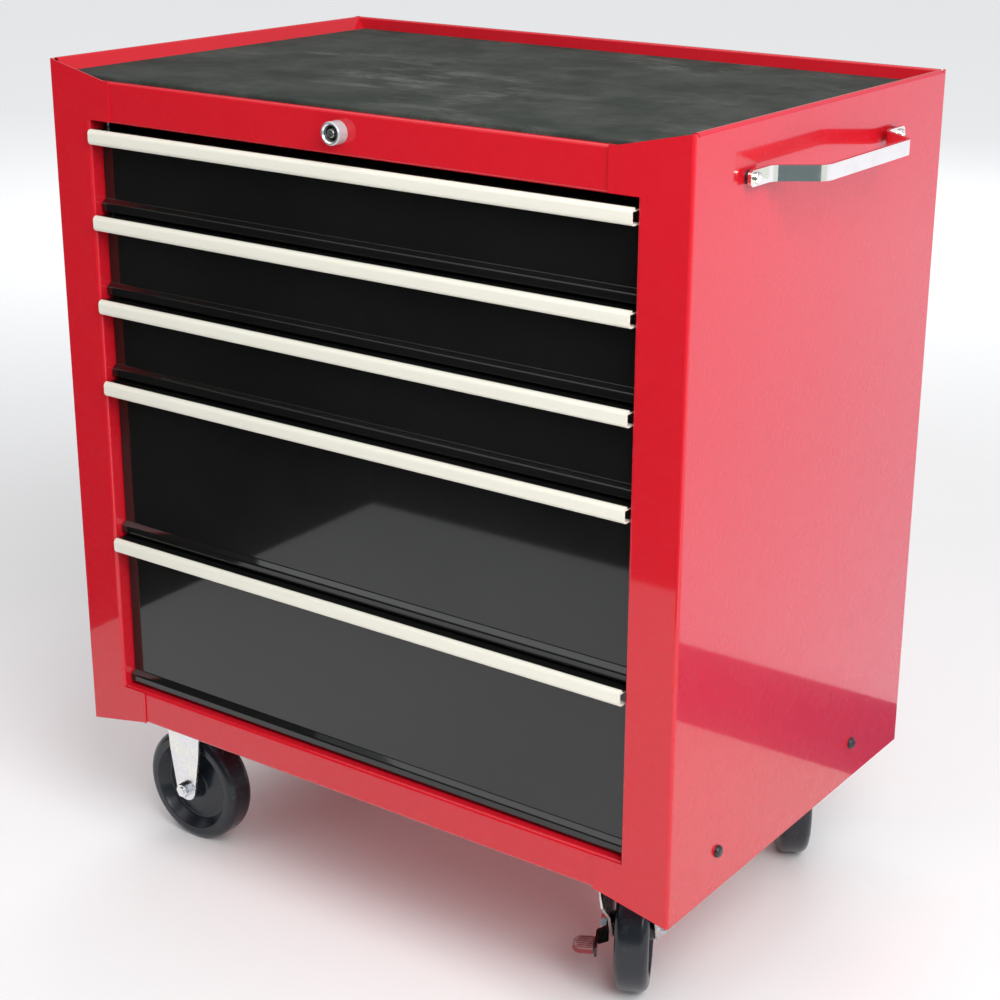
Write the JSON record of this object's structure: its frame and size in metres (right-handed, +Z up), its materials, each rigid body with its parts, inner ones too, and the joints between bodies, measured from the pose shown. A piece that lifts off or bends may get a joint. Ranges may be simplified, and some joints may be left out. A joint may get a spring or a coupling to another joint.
{
  "type": "tool cart",
  "caption": "Steel roller tool cabinet with full-width drawer pulls, raised matted top, key lock, side push handle, rigid and braked swivel casters.",
  "frame": {"origin": "centre of the bottom of the whole cart's box, on the floor", "axes": "+Z up, -Y towards the drawer fronts, +X towards the side handle"},
  "size_m": [0.726, 0.4716, 0.7995],
  "materials": {
    "red_paint": "gloss enamel",
    "black_paint": "gloss enamel",
    "pull_metal": "satin anodised, warm",
    "mat": "matte, mottled grey",
    "slide_steel": "zinc plated",
    "zinc": "bright zinc plate",
    "chrome": "polished",
    "lock_nickel": "bright nickel over a die casting",
    "plug": "dark, semi-gloss",
    "wheel": "black, satin",
    "pedal": "ribbed, dark red"
  },
  "bodies": {
    "cabinet": {"side_panel_left": "red_paint", "side_panel_right": "red_paint", "back_panel": "red_paint", "top_tray": "red_paint", "front_top_rail": "red_paint", "front_bottom_rail": "red_paint", "base_pan": "red_paint", "top_mat": "mat", "slide_uprights": "slide_steel", "outer_slides": "slide_steel", "lock_housing": "lock_nickel", "lock_nut": "zinc", "side_handle": "chrome", "handle_spacers": "plug", "handle_screws": "chrome", "base_screws": "plug", "rigid_forks": "zinc", "rigid_axles": "zinc", "swivel_plates": "zinc", "caster_bolts": "zinc"},
    "drawer_1": {"drawer_box_1": "black_paint", "drawer_front_1": "black_paint", "drawer_pull_1": "pull_metal", "slide_inner_1": "slide_steel"},
    "slide_1": {"slide_middle_1": "slide_steel"},
    "drawer_2": {"drawer_box_2": "black_paint", "drawer_front_2": "black_paint", "drawer_pull_2": "pull_metal", "slide_inner_2": "slide_steel"},
    "slide_2": {"slide_middle_2": "slide_steel"},
    "drawer_3": {"drawer_box_3": "black_paint", "drawer_front_3": "black_paint", "drawer_pull_3": "pull_metal", "slide_inner_3": "slide_steel"},
    "slide_3": {"slide_middle_3": "slide_steel"},
    "drawer_4": {"drawer_box_4": "black_paint", "drawer_front_4": "black_paint", "drawer_pull_4": "pull_metal", "slide_inner_4": "slide_steel"},
    "slide_4": {"slide_middle_4": "slide_steel"},
    "drawer_5": {"drawer_box_5": "black_paint", "drawer_front_5": "black_paint", "drawer_pull_5": "pull_metal", "slide_inner_5": "slide_steel"},
    "slide_5": {"slide_middle_5": "slide_steel"},
    "lock_cylinder": {"lock_cylinder": "lock_nickel", "lock_cam": "zinc"},
    "lock_bar": {"lock_bar": "zinc"},
    "wheel_front_left": {"wheel_front_left": "wheel"},
    "wheel_rear_left": {"wheel_rear_left": "wheel"},
    "swivel_front": {"swivel_fork_front": "zinc", "swivel_axle_front": "zinc"},
    "wheel_front_right": {"wheel_front_right": "wheel"},
    "brake_front": {"brake_lever_front": "black_paint", "brake_pedal_front": "pedal"},
    "swivel_rear": {"swivel_fork_rear": "zinc", "swivel_axle_rear": "zinc"},
    "wheel_rear_right": {"wheel_rear_right": "wheel"},
    "brake_rear": {"brake_lever_rear": "black_paint", "brake_pedal_rear": "pedal"}
  },
  "joints": [
    {"name": "drawer_slide_1", "type": "slide", "parent": "cabinet", "child": "drawer_1", "axis": [0, -1, 0], "range_m": [0, 0.37]},
    {"name": "middle_slide_1", "type": "slide", "parent": "cabinet", "child": "slide_1", "axis": [0, -1, 0], "range_m": [0, 0.185]},
    {"name": "drawer_slide_2", "type": "slide", "parent": "cabinet", "child": "drawer_2", "axis": [0, -1, 0], "range_m": [0, 0.37]},
    {"name": "middle_slide_2", "type": "slide", "parent": "cabinet", "child": "slide_2", "axis": [0, -1, 0], "range_m": [0, 0.185]},
    {"name": "drawer_slide_3", "type": "slide", "parent": "cabinet", "child": "drawer_3", "axis": [0, -1, 0], "range_m": [0, 0.37]},
    {"name": "middle_slide_3", "type": "slide", "parent": "cabinet", "child": "slide_3", "axis": [0, -1, 0], "range_m": [0, 0.185]},
    {"name": "drawer_slide_4", "type": "slide", "parent": "cabinet", "child": "drawer_4", "axis": [0, -1, 0], "range_m": [0, 0.37]},
    {"name": "middle_slide_4", "type": "slide", "parent": "cabinet", "child": "slide_4", "axis": [0, -1, 0], "range_m": [0, 0.185]},
    {"name": "drawer_slide_5", "type": "slide", "parent": "cabinet", "child": "drawer_5", "axis": [0, -1, 0], "range_m": [0, 0.37]},
    {"name": "middle_slide_5", "type": "slide", "parent": "cabinet", "child": "slide_5", "axis": [0, -1, 0], "range_m": [0, 0.185]},
    {"name": "lock_turn", "type": "hinge", "parent": "cabinet", "child": "lock_cylinder", "pos_m": [-0.0175, -0.22577, 0.7665], "axis": [0, 1, 0], "range_deg": [0, 90]},
    {"name": "lock_bar_drop", "type": "slide", "parent": "cabinet", "child": "lock_bar", "axis": [0, 0, -1], "range_m": [0, 0.01]},
    {"name": "roll_front_left", "type": "hinge", "parent": "cabinet", "child": "wheel_front_left", "pos_m": [-0.283, -0.15577, 0.0595], "axis": [0, 1, 0], "continuous": true},
    {"name": "roll_rear_left", "type": "hinge", "parent": "cabinet", "child": "wheel_rear_left", "pos_m": [-0.283, 0.15123, 0.0595], "axis": [0, 1, 0], "continuous": true},
    {"name": "swivel_turn_front", "type": "hinge", "parent": "cabinet", "child": "swivel_front", "pos_m": [0.245, -0.15577, 0.14], "axis": [0, 0, 1], "continuous": true},
    {"name": "roll_front_right", "type": "hinge", "parent": "swivel_front", "child": "wheel_front_right", "pos_m": [0.2281, -0.12398, 0.0595], "axis": [-0.8829, -0.4695, 0], "continuous": true},
    {"name": "brake_press_front", "type": "hinge", "parent": "swivel_front", "child": "brake_front", "pos_m": [0.2281, -0.12398, 0.0595], "axis": [0.8829, 0.4695, 0], "range_deg": [0, 20]},
    {"name": "swivel_turn_rear", "type": "hinge", "parent": "cabinet", "child": "swivel_rear", "pos_m": [0.245, 0.15123, 0.14], "axis": [0, 0, 1], "continuous": true},
    {"name": "roll_rear_right", "type": "hinge", "parent": "swivel_rear", "child": "wheel_rear_right", "pos_m": [0.22487, 0.18108, 0.0595], "axis": [-0.829, -0.5592, 0], "continuous": true},
    {"name": "brake_press_rear", "type": "hinge", "parent": "swivel_rear", "child": "brake_rear", "pos_m": [0.22487, 0.18108, 0.0595], "axis": [0.829, 0.5592, 0], "range_deg": [0, 20]}
  ],
  "couplings": [
    {"joint": "middle_slide_1", "follows": "drawer_slide_1", "ratio": 0.5},
    {"joint": "middle_slide_2", "follows": "drawer_slide_2", "ratio": 0.5},
    {"joint": "middle_slide_3", "follows": "drawer_slide_3", "ratio": 0.5},
    {"joint": "middle_slide_4", "follows": "drawer_slide_4", "ratio": 0.5},
    {"joint": "middle_slide_5", "follows": "drawer_slide_5", "ratio": 0.5},
    {"joint": "lock_turn", "follows": "lock_bar_drop", "rad_per_m": 157}
  ]
}
